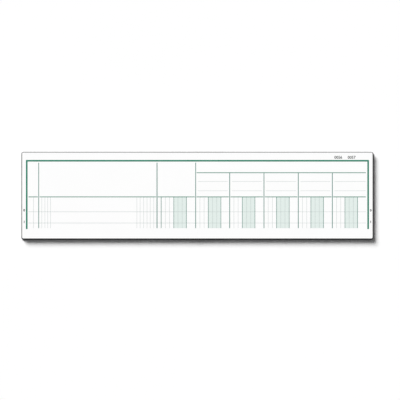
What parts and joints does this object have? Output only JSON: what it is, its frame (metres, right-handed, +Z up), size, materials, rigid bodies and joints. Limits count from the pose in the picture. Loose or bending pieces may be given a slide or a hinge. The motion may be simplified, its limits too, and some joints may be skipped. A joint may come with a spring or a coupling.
{
  "type": "accounting ledger book",
  "caption": "Sewn accounting ledger lying open and flat, with ruled cash columns on white pages, hinged covers, sections and leaves that turn, and a cloth back that rounds when shut.",
  "frame": {"origin": "on the surface that the open book lies on, straight under the fold, at half the height of the book", "axes": "+X from the front half on the left to the back half on the right, square to the fold; +Y along the fold towards the head; +Z up, out of the open pages"},
  "size_m": [0.25, 0.0624, 0.0047],
  "materials": {
    "page_paper": "smooth white ledger paper, matt, with a fine feint of green ruling on the open pages",
    "ruling_ink": "green ruling printed on the page paper, matt",
    "endpaper": "plain off-white endpaper, matt",
    "cover_paper": "charcoal grained cover paper, slightly sheened",
    "spine_cloth": "black woven book cloth, matt",
    "board": "raw greyboard",
    "infill_card": "raw grey card",
    "label_paper": "cream label paper with a plain printed rule",
    "back_lining": "brown kraft paper",
    "sewing_tape": "unbleached woven cotton tape",
    "sewing_thread": "white linen thread, lightly waxed"
  },
  "bodies": {
    "back_cover": {"back_cover_paper": "cover_paper", "back_board": "board", "back_spine_cloth": "spine_cloth", "back_infill": "infill_card", "back_pastedown": "endpaper", "right_back_lining": "back_lining", "right_head_tape": "sewing_tape", "right_tail_tape": "sewing_tape", "centre_thread": "sewing_thread"},
    "front_cover": {"front_cover_paper": "cover_paper", "front_board": "board", "front_spine_cloth": "spine_cloth", "front_infill": "infill_card", "front_pastedown": "endpaper", "left_back_lining": "back_lining", "left_head_tape": "sewing_tape", "left_tail_tape": "sewing_tape", "title_label": "label_paper"},
    "left_section_3": {"front_flyleaf": "endpaper", "left_section_3": "page_paper", "left_section_3_thread": "sewing_thread"},
    "left_section_2": {"left_section_2": "page_paper", "left_section_2_thread": "sewing_thread"},
    "left_section_1": {"left_section_1": "page_paper", "left_section_1_thread": "sewing_thread"},
    "left_leaf_4": {"left_leaf_4": "page_paper"},
    "left_leaf_3": {"left_leaf_3": "page_paper"},
    "left_leaf_2": {"left_leaf_2": "page_paper"},
    "left_leaf_1": {"left_leaf_1": "page_paper"},
    "right_section_3": {"back_flyleaf": "endpaper", "right_section_3": "page_paper", "right_section_3_thread": "sewing_thread"},
    "right_section_2": {"right_section_2": "page_paper", "right_section_2_thread": "sewing_thread"},
    "right_section_1": {"right_section_1": "page_paper", "right_section_1_thread": "sewing_thread"},
    "right_leaf_4": {"right_leaf_4": "page_paper"},
    "right_leaf_3": {"right_leaf_3": "page_paper"},
    "right_leaf_2": {"right_leaf_2": "page_paper"},
    "right_leaf_1": {"right_leaf_1": "page_paper"}
  },
  "joints": [
    {"name": "front_cover_hinge", "type": "hinge", "parent": "back_cover", "child": "front_cover", "pos_m": [0, 0, 0.00467], "axis": [0, 1, 0], "range_deg": [0, 180]},
    {"name": "left_section_3_turn", "type": "hinge", "parent": "front_cover", "child": "left_section_3", "pos_m": [0, 0, 0.00467], "axis": [0, -1, 0], "range_deg": [-180, 0]},
    {"name": "left_section_2_turn", "type": "hinge", "parent": "left_section_3", "child": "left_section_2", "pos_m": [0, 0, 0.00467], "axis": [0, -1, 0], "range_deg": [-180, 0]},
    {"name": "left_section_1_turn", "type": "hinge", "parent": "left_section_2", "child": "left_section_1", "pos_m": [0, 0, 0.00467], "axis": [0, -1, 0], "range_deg": [-180, 0]},
    {"name": "left_leaf_4_turn", "type": "hinge", "parent": "left_section_1", "child": "left_leaf_4", "pos_m": [0, 0, 0.00467], "axis": [0, -1, 0], "range_deg": [-180, 0]},
    {"name": "left_leaf_3_turn", "type": "hinge", "parent": "left_leaf_4", "child": "left_leaf_3", "pos_m": [0, 0, 0.00467], "axis": [0, -1, 0], "range_deg": [-180, 0]},
    {"name": "left_leaf_2_turn", "type": "hinge", "parent": "left_leaf_3", "child": "left_leaf_2", "pos_m": [0, 0, 0.00467], "axis": [0, -1, 0], "range_deg": [-180, 0]},
    {"name": "left_leaf_1_turn", "type": "hinge", "parent": "left_leaf_2", "child": "left_leaf_1", "pos_m": [0, 0, 0.00467], "axis": [0, -1, 0], "range_deg": [-180, 0]},
    {"name": "right_section_3_turn", "type": "hinge", "parent": "back_cover", "child": "right_section_3", "pos_m": [0, 0, 0.00467], "axis": [0, 1, 0], "range_deg": [-180, 0]},
    {"name": "right_section_2_turn", "type": "hinge", "parent": "right_section_3", "child": "right_section_2", "pos_m": [0, 0, 0.00467], "axis": [0, 1, 0], "range_deg": [-180, 0]},
    {"name": "right_section_1_turn", "type": "hinge", "parent": "right_section_2", "child": "right_section_1", "pos_m": [0, 0, 0.00467], "axis": [0, 1, 0], "range_deg": [-180, 0]},
    {"name": "right_leaf_4_turn", "type": "hinge", "parent": "right_section_1", "child": "right_leaf_4", "pos_m": [0, 0, 0.00467], "axis": [0, 1, 0], "range_deg": [-180, 0]},
    {"name": "right_leaf_3_turn", "type": "hinge", "parent": "right_leaf_4", "child": "right_leaf_3", "pos_m": [0, 0, 0.00467], "axis": [0, 1, 0], "range_deg": [-180, 0]},
    {"name": "right_leaf_2_turn", "type": "hinge", "parent": "right_leaf_3", "child": "right_leaf_2", "pos_m": [0, 0, 0.00467], "axis": [0, 1, 0], "range_deg": [-180, 0]},
    {"name": "right_leaf_1_turn", "type": "hinge", "parent": "right_leaf_2", "child": "right_leaf_1", "pos_m": [0, 0, 0.00467], "axis": [0, 1, 0], "range_deg": [-180, 0]}
  ]
}
